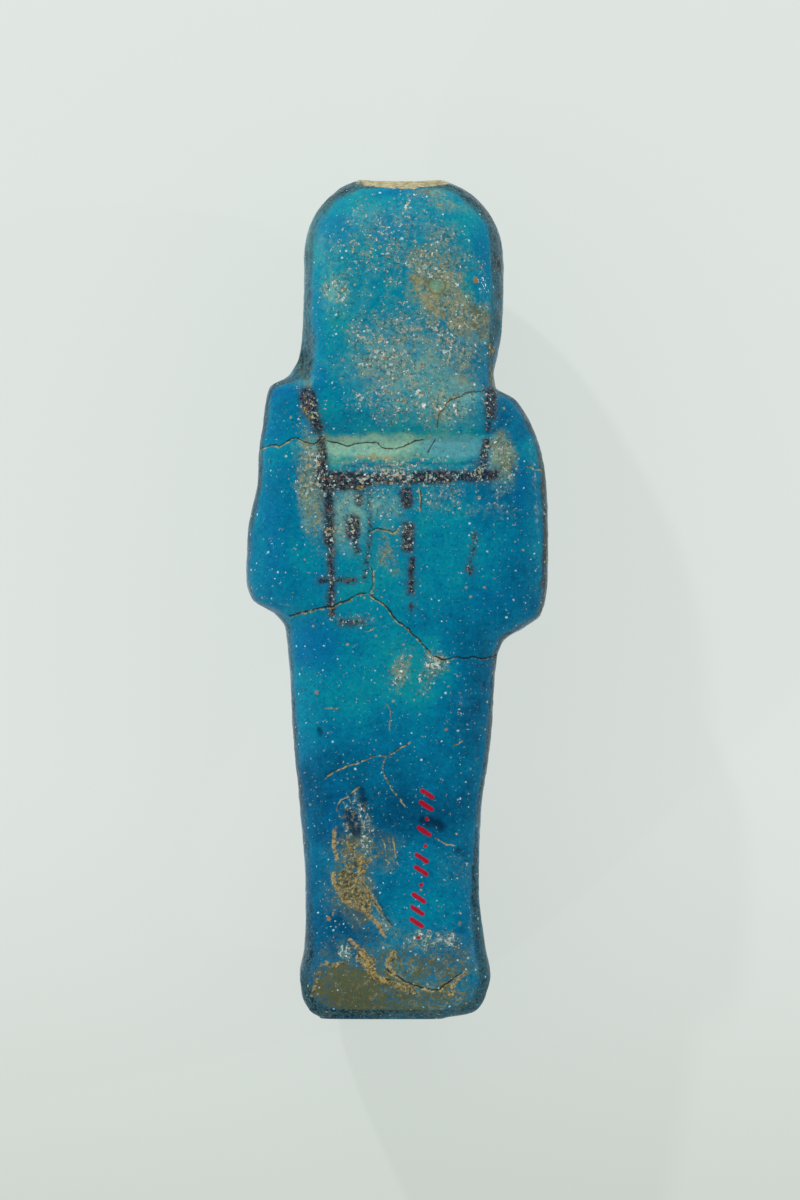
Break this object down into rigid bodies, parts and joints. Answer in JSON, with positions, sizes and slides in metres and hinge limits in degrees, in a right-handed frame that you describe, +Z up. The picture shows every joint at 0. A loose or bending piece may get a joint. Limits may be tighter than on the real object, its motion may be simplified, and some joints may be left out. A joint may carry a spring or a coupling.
{
  "type": "ushabti figurine",
  "caption": "Moulded faience tomb figurine of a wrapped figure with a long wig and crossed arms, lying on its front with its back up.",
  "frame": {"origin": "on the surface the figure lies on, under the middle of its bounding box", "axes": "+Z up, out of the figure's back; +Y from the foot base to the crown of the head; +X to the right as its back is seen from above"},
  "size_m": [0.0417, 0.116, 0.0283],
  "materials": {
    "glazed_faience": "worn bright blue glaze with turquoise and tan patches, fine cracks and faded dark painted lines"
  },
  "bodies": {
    "root": {"ushabti": "glazed_faience"}
  },
  "joints": []
}
